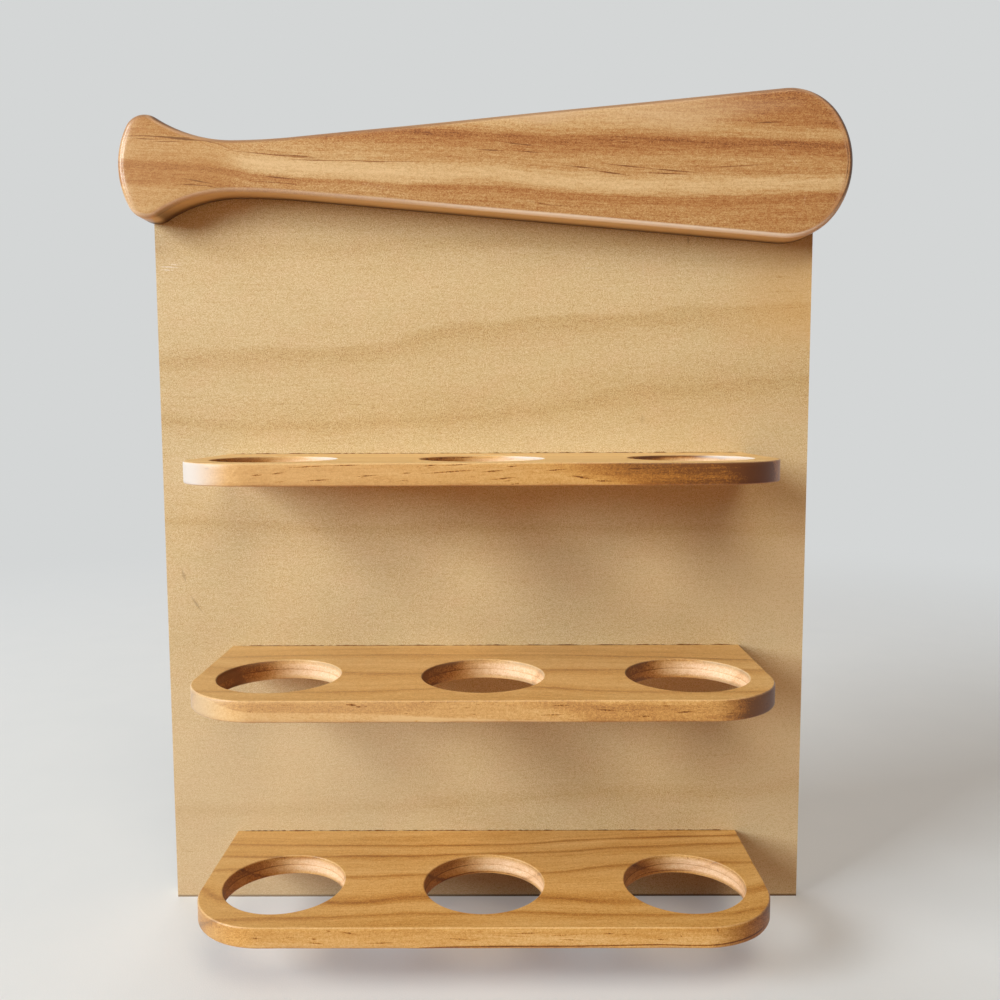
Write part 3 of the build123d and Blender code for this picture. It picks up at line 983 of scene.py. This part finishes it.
UPPER = dict(
    lean=0.6, grit=0.22, shift=-0.06, ends=0.08, dark_end=0.35, dark_wall=0.45,
    pale_ends=(srgb(207, 198, 189), 1.0), pale_top=0.0, pale_front=(0.35, 0.0), ink=0.75,
    top=-0.2, dashes=(0.05, 0.7),
    brown=(
        ((38, -5.6), (66, -8.6), 3.0, 0.2), ((96, -1.5), (130, -3.0), 6.0, 0.10),
        ((50, -5), (190, -5), 60.0, 0.34),
    ),
    front_lines=(
        (-11, ((-150, -11.5), (30, -12), (48, -13), (80, -18), (150, -28))),
        (0, ((-150, 8), (20, 8), (36, 2.0), (56, -5), (76, -10), (104, -14), (150, -18))),
    ),
    front_tones=(
        (-13, 0.55), (-9, 0.55), (-5, 0.57), (-2.5, 0.64), (0, 0.76), (4, 0.84), (9, 0.92),
        (20, 0.96),
    ),
    strokes=(
        ((-92, -2.0), (-70, -1.0), 0.9), ((-72, -1.2), (-54, -0.7), 0.8),
        ((-109, -5.8), (-103, -5.3), 1.2), ((-100, -5.1), (-93, -4.3), 0.9),
        ((-60, -6.4), (-48, -5.6), 0.8), ((-38, -4.9), (-32, -4.6), 0.9),
        ((-29, -5.2), (1, -3.1), 1.0), ((-27, -1.5), (-20, -0.9), 0.9),
        ((-20, -1.3), (-2, -0.5), 0.8), ((0, -4.4), (12, -3.5), 1.0),
        ((5, -8.1), (18, -6.8), 1.0), ((12, -2.0), (19, -1.4), 0.9),
        ((44, -6.3), (53, -7.8), 1.3), ((52, -8.7), (65, -8.9), 1.1),
        ((70, -3.0), (79, -2.8), 1.2), ((-84, -8.4), (-70, -7.6), 0.8),
        ((30, -4.0), (42, -3.0), 0.9),
    ),
    lines=(
        (-100, ((-150, -112), (-60, -104), (40, -97), (150, -92))),
        (-62, ((-150, -70), (-50, -65), (60, -60), (150, -52))),
        (-30, ((-150, -34), (0, -30), (150, -24))),
    ),
    tones=(
        (-140, 0.24), (-126, 0.30), (-118, 0.34), (-102, 0.38), (-100, 0.64), (-98, 0.38),
        (-84, 0.32), (-64, 0.40), (-62, 0.62), (-60, 0.36), (-45, 0.30), (-31.5, 0.38),
        (-30, 0.62), (-28.5, 0.36), (-10, 0.34),
    ),
)
BOARDS = {"lower_shelf": LOWER, "middle_shelf": MIDDLE, "upper_shelf": UPPER}


def front_marks(x, y, depth, board, top):
    """The short dark dashes of a shelf's front, some drawn and some left to chance."""
    slope, share = board["dashes"]
    level = depth - x * slope + noise(x / 30, depth / 5, top) * 0.7
    dash = dashes(x / 18, level / 1.5, y / 9, share, 0.17)
    dash = dash + dashes(x / 7, level / 1.1 + 7.0, y / 9, share * 0.8, 0.15)
    return dash * 0.7 + marks(join(x, depth, 0.0), board["strokes"])


def shelf_tone(place, faces, edges, board, top):
    """A shelf's tone, with the parts of it that its colour and relief use again."""
    x, y, z = place
    facing_x, facing_y, facing_z = faces
    aside, forward = maths("ABSOLUTE", facing_x), maths("ABSOLUTE", facing_y)
    wall = edges["wall"]
    outside = 1 - wall
    depth = z - top
    across = y + depth * board["lean"]
    across = across + noise(x / 60, y / 16, z / 16 + top) * 1.6
    across = across + noise(x / 20, y / 1.6, z / 1.6) * 0.55
    grain = straighten(x, across, board["lines"], SHELF_SPAN)
    fibre = fibres(x, grain, z)
    canal = canals(x, grain, z, 0.30)
    fine = grit(x, y, z)
    streaks = noise(x / 60, grain / 1.5, z / 1.5) * 0.055 + noise(x / 60, grain / 7, z / 7) * 0.12
    streaks = streaks + noise(x / 1.5, y / 2.2, z / 2.2) * 0.05
    tone = profile(grain, board["tones"]) + fibre * 0.15 + fine * board["grit"] + streaks
    tone = tone + canal * 0.2 + board["shift"] + aside * board["ends"]

    # Painted shade: the right end and the seats' left walls, which face to the right, are darker.
    right_facing_shade = wall * board["dark_wall"] + outside * board["dark_end"]
    upward = soft_step(facing_z, 0.6, 0.9)
    tone = tone + soft_step(facing_x, 0.15, 0.7) * right_facing_shade + upward * board["top"]
    step = maths("ABSOLUTE", depth + SAW_STEP + noise(x / 14, y / 14, 1.0) * 0.25)
    tone = tone + soft_step(step, 0.4, 0.1) * wall * 0.42
    tone = tone - soft_step(depth, 0.1 - SAW_STEP, -0.3 - SAW_STEP) * wall * 0.14

    # The front has its own bands, dashes and brown places. End grain shows pores.
    front = soft_step(forward, 0.5, 0.8) * outside
    dash = clamp(front_marks(x, y, depth, board, top)) * soft_step(fine, -1.2, 0.4)
    brown = marks(join(x, depth, 0.0), board["brown"]) + noise(x / 1.2, y, z / 0.7) * 0.05
    bands = profile(straighten(x, depth, board["front_lines"], SHELF_SPAN), board["front_tones"])
    pores = dashes(x / 1.6, y / 1.6, z / 4.0, 0.3, 0.22) * soft_step(aside, 0.3, 0.7) * outside
    tone = clamp(tone + front * (bands - 0.5 + dash * board["ink"] + brown) + pores * 0.4)
    return tone, fibre, canal, fine, dash, front, upward


def shelf_wood(name, board, top):
    """Pine for one shelf, with its rings where they were drawn."""
    wood, place = start_material(name.replace("_", " ") + " varnished pine")
    edges = {key: attribute(wood, key) for key in ("edge", "wall")}
    wall = edges["wall"]
    faces = facing(wood)
    tone, fibre, canal, fine, dash, front, upward = shelf_tone(place, faces, edges, board, top)
    x, y, z = place
    facing_x, facing_y, _ = faces
    colour = ramp(tone, SHELF_COLOURS)

    # The saw left the seats' walls rough and pale. Painted light gives the walls that face left
    # more of the pale colour, and painted shade gives those that face right less.
    sawn = noise(x / 1.6, y / 1.6, z / 0.35)
    raw = ramp(clamp(tone * 0.6 + sawn * 0.08 + fine * 0.06 + 0.06), RAW_COLOURS)
    colour = mix(colour, raw, wall * soft_step(facing_x, 0.5, -0.5, 0.2, 1.0))

    # The front and the top near the left end are mixed paler, the front most at the left. The left
    # end is mixed towards its own colour: on the middle and upper shelves a painted highlight,
    # partly paler end grain.
    paling = soft_step(x, -110, 110, *board["pale_front"])
    colour = mix(colour, srgb(218, 184, 138), front * clamp(1 - dash * 1.6) * paling)
    end_colour, end_share = board["pale_ends"]
    left_end_grain_and_highlight = soft_step(facing_x, -0.15, -0.75) * (1 - wall)
    colour = mix(colour, end_colour, left_end_grain_and_highlight * end_share)
    paling = soft_step(x, -40, -150) * 0.22 + board["pale_top"]
    colour = mix(colour, srgb(208, 174, 124), upward * paling)
    # Rubbed pale edges, with a painted highlight added on the seats' front rims, which face back.
    rubbed_edge_and_highlight = edges["edge"] * soft_step(facing_y, 0.0, 0.5, 0.22, 0.7)
    colour = mix(colour, srgb(236, 206, 162), rubbed_edge_and_highlight)
    return finish_material(
        wood,
        colour,
        clamp(0.42 + fibre * 0.04 + wall * 0.25 - tone * 0.04, 0.2, 0.9),
        fibre * 0.5 - canal - dash * front * 0.4 + sawn * wall + fine * 0.3,
        0.03,
        Coat_Weight=0.06,
        Coat_Roughness=0.3,
        Specular_IOR_Level=0.3,
    )


shelf_woods = {name: shelf_wood(name, board, TOPS[name]) for name, board in BOARDS.items()}
print("shelf materials:", [len(w.node_tree.nodes) for w in shelf_woods.values()], "nodes")

# %% [markdown]
# ## The plywood panel
# The face veneer was peeled off a turning log, so its figure is wide and soft: five drawn
# bands, fine speckle and a few dark dashes. Its edges show what plywood is: five layers that
# lie crosswise by turns, with a dark glue line between them. Which layer a point lies in
# follows from its depth alone, so one formula paints the edges, the bores and the pockets.

# %% Panel material
PANEL_SPAN = (-191.0, 191.0)
PANEL_LINES = (
    (-157, ((-190, -166), (-34, -160.5), (45, -157), (130, -154.5), (188, -149.6))),
    (9, ((-190, 14), (-50, 9.3), (68, 7.2), (187, 8))),
    (80, ((-189, 75), (-119, 71), (-40, 73), (7.5, 76.7), (55, 84), (101, 90), (191, 100))),
    (120, ((-188, 106.6), (-118, 108), (-67, 111), (-31, 119), (23, 125), (78, 129),
        (190, 136))),
    (172, ((-188, 171.6), (-135, 173), (-77, 171), (-19, 173), (190, 178))),
)
PANEL_TONES = (
    (-221, 0.34), (-200, 0.31), (-178, 0.33), (-164, 0.31), (-157, 0.39), (-150, 0.31),
    (-120, 0.29), (-85, 0.32), (-60, 0.33), (-35, 0.29), (-8, 0.29), (4, 0.33), (9, 0.40),
    (13, 0.33), (34, 0.29), (58, 0.27), (70, 0.31), (79, 0.40), (84, 0.33), (100, 0.27),
    (113, 0.30), (120, 0.37), (124, 0.38), (127.5, 0.28), (148, 0.25), (166, 0.28), (172, 0.34),
    (180, 0.29), (192, 0.33), (203, 0.37), (214, 0.34), (221, 0.34),
)
PANEL_MARKS = (
    ((-177, 151.7), (-95, 151.8), 0.9, 0.4), ((-152, 148.6), (-92, 148.4), 0.9, 0.5),
    ((-169, 141.2), (-137, 142.2), 1.0, 0.6), ((-190, 87.3), (-161, 86.3), 1.1, 0.8),
    ((-137, 82.5), (-101, 82.4), 1.0, 0.8), ((-85, 81.7), (-64, 81.9), 1.0, 0.6),
    ((-71, 79.9), (-61, 79.9), 1.3), ((-85.5, 108), (-80, 107.9), 1.3),
    ((-31, 149.8), (-24, 149.8), 1.2, 0.8), ((167, 154.7), (180, 154.9), 1.4),
    ((167, 146.1), (188, 146.7), 1.0, 0.9), ((179, 143.8), (188, 143.8), 1.2),
    ((165, 136.4), (188, 137.6), 1.0, 0.8), ((-189, -190.7), (-177, -191.4), 1.4),
    ((-172, -129), (-66, -128), 0.9, 0.5), ((10, -120), (34, -121), 1.0, 0.8),
    ((60, -128), (92, -127), 1.0, 0.7), ((120, -131), (160, -130.4), 1.0, 0.6),
    ((128, -12), (138, -12.6), 1.3, 0.8), ((58, -9), (110, -9.6), 0.9, 0.5),
    ((-60, -20), (-20, -20.6), 0.9, 0.4),
)
PANEL_COLOURS = palette(
    (0.0, 223, 203, 164), (0.3, 206, 182, 137), (0.5, 195, 164, 113), (0.7, 178, 142, 90),
    (1.0, 130, 94, 56),
)
SMUDGES = (
    ((-181.5, -15), (-179, -24), 3.4, 0.7), ((-177, -31), (-169.5, -42.5), 2.6, 0.8),
    ((118.4, 179), (118.8, 172.8), 2.4), ((91, 72.9), (95, 72.8), 9.0, 0.35),
)
PALE_SCRATCHES = (
    ((-189.5, 162.2), (-176, 161.6), 1.1), ((-188, 160.4), (-180, 160.0), 0.9),
    ((-183, 163.4), (-176, 163.0), 0.7), ((54, 160.3), (68, 160.3), 0.8, 0.4),
    ((92.5, 168), (92.7, 152.7), 0.8, 0.3), ((60, 148.6), (84, 149), 0.7, 0.25),
)
PANEL_FOOT = -220.0
PLY_EDGES = (-10.8, -7.6, -4.4, -1.2)


def ply(y, near, far):
    """1 in the layer between two depths, 0 outside it."""
    return soft_step(y, near - 0.05, near + 0.05) - soft_step(y, far - 0.05, far + 0.05)


panel_wood, (x, y, z) = start_material("panel pine plywood")
_, forward, _ = (maths("ABSOLUTE", f) for f in facing(panel_wood))
height = z + noise(x / 120, z / 30, 0.0) * 4.0 + noise(x / 34, z / 7, 0.0) * 1.6
front_grain = straighten(x, height, PANEL_LINES, PANEL_SPAN)
front_tone = (profile(front_grain, PANEL_TONES) - 0.30) * 1.6 + 0.30
contour = z * 0.55 + noise(x / 210, z / 90, 4.0) * 30 + noise(x / 60, z / 24, 5.0) * 2.5
ring = maths("PINGPONG", contour, 6.0) / 6.0
back_tone = 0.30 + soft_step(ring, 0.55, 1.0) * 0.16
behind = soft_step(y, PLY_EDGES[3] - 0.05, PLY_EDGES[3] + 0.05)
face_grain = front_grain * (1 - behind) + contour * behind
speckle = grit(x, z, y, 0.55)
face_fibre = noise(x / 14, face_grain / 0.5, 0.0) * 0.4 + noise(x / 50, face_grain / 1.6, 0.0) * 0.4
face_dash = dashes(x / 24, face_grain / 1.8, 3.0, 0.12, 0.14) * 0.5
spot = join(x, z, 0.0)
broken = soft_step(noise(x / 6, z / 1.2, 6.0), -0.6, 0.5)
face_dash = face_dash + marks(spot, PANEL_MARKS) * broken * (1 - behind)
# Painted light and shade: the face is made darker near the top and lighter in the lower middle and
# at the lower right.
painted_light_low_middle = soft_step(z, 90, 10) * soft_step(x, -140, 60)
painted_light_low_right = soft_step(x, 120, 175) * soft_step(z, 60, -40)
front_tone = front_tone + soft_step(z, 20, 90) * 0.06 - painted_light_low_middle * 0.09 - painted_light_low_right * 0.12
face_tone = front_tone * (1 - behind) + back_tone * behind
blotch = noise(x / 60, z / 26, 8.0) * 0.035 + noise(x / 16, z / 9, 9.0) * 0.02
face_tone = face_tone + speckle * 0.56 + face_fibre * 0.10 + face_dash * 0.42 + blotch

crosswise = ply(y, *PLY_EDGES[:2]) + ply(y, *PLY_EDGES[2:])
long_ply = noise(x / 20, z / 0.5, y / 0.5) * 0.10 + noise(x / 60, z / 3, y / 3) * 0.10
cross_ply = noise(x / 0.5, z / 20, y / 0.5) * 0.10 + noise(x / 3, z / 60, y / 3) * 0.10 + 0.14
ply_tone = 0.40 + long_ply * (1 - crosswise) + cross_ply * crosswise
for depth in PLY_EDGES:
    ply_tone = ply_tone + soft_step(maths("ABSOLUTE", y - depth), 0.28, 0.08) * 0.30
edgewise = soft_step(forward, 0.7, 0.4)
panel_tone = clamp(face_tone * (1 - edgewise) + ply_tone * edgewise)
colour = ramp(panel_tone, PANEL_COLOURS)
hue = noise(x / 22, z / 14, 12.0)
colour = mix(colour, srgb(214, 172, 136), clamp(hue * 0.16))
colour = mix(colour, srgb(200, 184, 134), clamp(hue * -0.16))
# Painted shadow: a dark line along the foot of the face, where the panel stands on the table.
foot = soft_step(z, PANEL_FOOT + 1.7, PANEL_FOOT + 0.7)
colour = mix(colour, srgb(66, 42, 26), foot * (1 - edgewise) * 0.9)
low_left = soft_step(z, 0, -160) * soft_step(x, 60, -120)
colour = mix(colour, srgb(218, 197, 162), low_left * 0.35 * (1 - behind))
golden = soft_step(x, 120, 185) * soft_step(z, 100, 130) * (1 - behind)
warm_side = soft_step(x, 40, 170) * soft_step(z, 110, 60) * (1 - behind)
colour = mix(colour, srgb(198, 146, 82), warm_side * 0.12)
colour = mix(colour, srgb(204, 156, 88), golden * 0.4)
smudge = marks(spot, SMUDGES)
colour = mix(colour, srgb(124, 92, 60), smudge * (1 - behind) * 0.5)
pale = marks(spot, PALE_SCRATCHES)
pale = pale * soft_step(noise(x / 0.9, z / 0.5, 2.0), -0.5, 0.3) * (1 - behind)
colour = mix(colour, srgb(246, 238, 224), pale * 0.85)
finish_material(
    panel_wood,
    colour,
    clamp(0.52 + face_fibre * 0.04 + edgewise * 0.2 + behind * 0.12, 0.2, 0.95),
    face_fibre * 0.5 + speckle * 0.6 - face_dash,
    0.02,
    Specular_IOR_Level=0.4,
)
nodes["back_panel"].material_slots[0].material = panel_wood
print("panel material:", len(panel_wood.node_tree.nodes), "nodes")

# %% [markdown]
# ## Screws and hanger plates
# Both are steel with a thin coat of zinc. Zinc grows in flat crystals, so it is blotchy in
# colour and in shine, and rubbed bright on its high places. The plates were stamped from
# rolled strip, which leaves faint lines along them.

# %% Zinc
def zinc(name, dark, light, lines):
    """Zinc-plated steel: patches of two greys, with fine lines along Z where lines is 1."""
    metal, (x, y, z) = start_material(name)
    patches = noise(x / 2.2, y / 2.2, z / 2.2, 3.0)
    rolled = noise(x / 0.12, y / 0.12, z / 9.0) * lines
    dust = noise(x / 0.3, y / 0.3, z / 0.3)
    blend = clamp(0.5 + patches * 0.35 + rolled * 0.15 + dust * 0.1)
    relief = rolled + dust * 0.4
    put(metal.node_tree.nodes["Principled BSDF"], "Metallic", 1.0)
    return finish_material(metal, mix(dark, light, blend), 0.30 + blend * 0.18, relief, 0.006)


screw_zinc = zinc("screw zinc", srgb(150, 148, 140), srgb(206, 204, 196), 0.0)
plate_zinc = zinc("plate zinc", srgb(158, 160, 162), srgb(212, 213, 212), 1.0)
for name, node in nodes.items():
    if name.endswith("_screws"):
        node.material_slots[0].material = screw_zinc
    elif name.endswith("_plate"):
        node.material_slots[0].material = plate_zinc

# %% [markdown]
# ## Make the wooden pieces
# The arrays and the materials are ready, so each piece is one call. It stands for the CAD
# solid of the same name, which it hides.

# %% Bat and shelves
make_piece("bat", bat_shape, bat_wood, "bat_plaque")
for number, (name, top) in enumerate(TOPS.items()):
    grids = shelf_grids(top, 11 + 10 * number)
    make_piece(f"{name}_board", grids, shelf_woods[name], name)

# %% [markdown]
# ## Glue along the joints
# Where a shelf meets the panel, a little glue came out and dried to a thin, broken amber
# line. Its dark colour is also a painted shadow of the joint. It is a low ridge that runs
# along the joint, with a height and a width that wander.

# %% Glue ridges
GLUE_END = 150.5


def glue_ridge(start, end, level, up, seed):
    """A quarter-round ridge along X in the corner of panel and shelf; `up` is 1 or -1."""
    x = np.linspace(start, end, 420)
    share = (x - start) / (end - start)
    size = 0.27 + 0.13 * waves(share, seed, 30) + 0.12 * waves(share, seed + 1, 90)
    size = np.clip(size, 0.05, 0.55) * np.clip(np.minimum(share, 1 - share) * 60, 0.1, 1)
    turn = np.linspace(0, np.pi / 2, 5)[:, None]
    hidden = np.full((1, len(x)), -0.1)
    out = np.concatenate([np.sin(turn) * size, hidden])
    rise = np.concatenate([np.cos(turn) * size, hidden])
    out[:, [0, -1]], rise[:, [0, -1]] = 0.02, 0.02
    points = np.stack([np.broadcast_to(x, out.shape), BACK_Y - out, level + up * rise], -1)
    return points.transpose(1, 0, 2)


glue, (x, y, z) = start_material("dried wood glue")
amber = clamp(0.5 + noise(x / 3.0, y, z, 3.0) * 0.4 + noise(x / 0.5, y / 0.5, z / 0.5) * 0.3)
# Dark amber, which also stands as a painted shadow in the joint.
glue_and_joint_shade = mix(srgb(74, 42, 18), srgb(146, 96, 48), amber)
finish_material(glue, glue_and_joint_shade, 0.55 + amber * 0.2, Specular_IOR_Level=0.2)
for number, (name, top) in enumerate(TOPS.items()):
    for up, level in ((1, top), (-1, top - THICKNESS)):
        ridge = glue_ridge(-GLUE_END, GLUE_END, level, up, 31 + 4 * number + up)
        side = "top" if up > 0 else "underside"
        make_piece(f"{name}_{side}_glue", [(ridge, True, {})], glue)

# %% [markdown]
# ## Floor, backdrop and light
# The rack stands on a pale table, as in the picture. The table fades into the backdrop with
# distance, so there is no horizon line. The light is a large soft window at the left, a
# little above the rack and in front of it. A weak lamp high in front stands for the light
# that a ceiling gives back, and a dim warm sky fills the shadows. A third lamp shows the back.
# The table looks neutral but throws warm light at the wood, as its surroundings would.

# %% Floor
BACKDROP = srgb(212, 214, 214)
TABLE_BOUNCE = srgb(174, 118, 76)
floor_turn = np.linspace(0, 2 * np.pi, 96, endpoint=False)
floor_reach = np.array([0.001, 200, 400, 700, 1100, 1600, 2400, 3600, 6000])[:, None]
floor_plan = np.stack([floor_reach * np.cos(floor_turn), floor_reach * np.sin(floor_turn)], -1)
floor_mesh = bpy.data.meshes.new("table")
floor_points = with_height(floor_plan, cad_low.z / MM).reshape(-1, 3) * MM
floor_mesh.from_pydata(floor_points, [], grid_faces(*floor_plan.shape[:2], True))
table_top = bpy.data.objects.new("table", floor_mesh)
bpy.context.scene.collection.objects.link(table_top)


def seen_directly(tree):
    """1 for what the camera or a reflection sees, 0 for light that bounces from rough surfaces."""
    path = tree.nodes.new("ShaderNodeLightPath")
    rays = (Field(path.outputs[f"Is {kind} Ray"]) for kind in ("Camera", "Glossy", "Transmission"))
    return sum(rays, 0.0)


cloth, (x, y, z) = start_material("pale table")
cloth_tree = cloth.node_tree
fabric = noise(x / 0.8, y / 0.8, 0.0) * 0.5 + noise(x / 60, y / 60, 0.0)
pale_cloth = mix(srgb(228, 229, 230), srgb(234, 234, 234), clamp(0.5 + fabric * 0.3))
finish_material(cloth, mix(TABLE_BOUNCE, pale_cloth, seen_directly(cloth_tree)), 0.8, fabric, 0.05)
far_off = cloth_tree.nodes.new("ShaderNodeEmission")
put(far_off, "Color", BACKDROP)
blend = cloth_tree.nodes.new("ShaderNodeMixShader")
distance = maths("SQRT", x * x + y * y)
put(blend, 0, soft_step(distance, 450, 1700, 0.2) * seen_directly(cloth_tree))
cloth_tree.links.new(cloth_tree.nodes["Principled BSDF"].outputs[0], blend.inputs[1])
cloth_tree.links.new(far_off.outputs[0], blend.inputs[2])
cloth_tree.links.new(blend.outputs[0], cloth_tree.nodes["Material Output"].inputs["Surface"])
floor_mesh.materials.append(cloth)

# %% Sky and lamps
SKY_LIGHT = 0.06
SKY_TINT = (1.0, 0.58, 0.32, 1.0)
world = bpy.data.worlds.new("soft sky")
bpy.context.scene.world = world
world.use_nodes = True
sky_tree = world.node_tree
seen = sky_tree.nodes["Background"]
put(seen, "Color", BACKDROP)
lit = sky_tree.nodes.new("ShaderNodeBackground")
put(lit, "Color", SKY_TINT)
put(lit, "Strength", SKY_LIGHT)
sky = sky_tree.nodes.new("ShaderNodeMixShader")
put(sky, 0, seen_directly(sky_tree))
sky_tree.links.new(lit.outputs[0], sky.inputs[1])
sky_tree.links.new(seen.outputs[0], sky.inputs[2])
sky_tree.links.new(sky.outputs[0], sky_tree.nodes["World Output"].inputs["Surface"])


def soft_lamp(name, spot, aim, width, height, power, tint=(1.0, 1.0, 1.0)):
    """A rectangular area lamp at spot that faces aim, both in metres."""
    data = bpy.data.lights.new(name, "AREA")
    data.shape = "RECTANGLE"
    data.size, data.size_y, data.energy, data.color = width, height, power, tint
    lamp = bpy.data.objects.new(name, data)
    lamp.location = spot
    lamp.rotation_mode = "QUATERNION"
    lamp.rotation_quaternion = (Vector(aim) - Vector(spot)).to_track_quat("-Z", "Y")
    lamp.visible_camera = False
    bpy.context.scene.collection.objects.link(lamp)
    return lamp


soft_lamp("window", (-4.07, -2.40, 1.71), (0, -0.05, 0), 2.3, 2.7, 372, (0.87, 0.96, 1.0))
soft_lamp("ceiling", (0.35, -2.0, 2.7), (0, -0.05, 0), 1.7, 1.6, 37, (1.0, 0.86, 0.66))
soft_lamp("rear fill", (-1.2, 3.2, 1.2), (0, 0, 0), 2.8, 2.2, 58).visible_glossy = False
bpy.context.scene.view_settings.view_transform = "Standard"
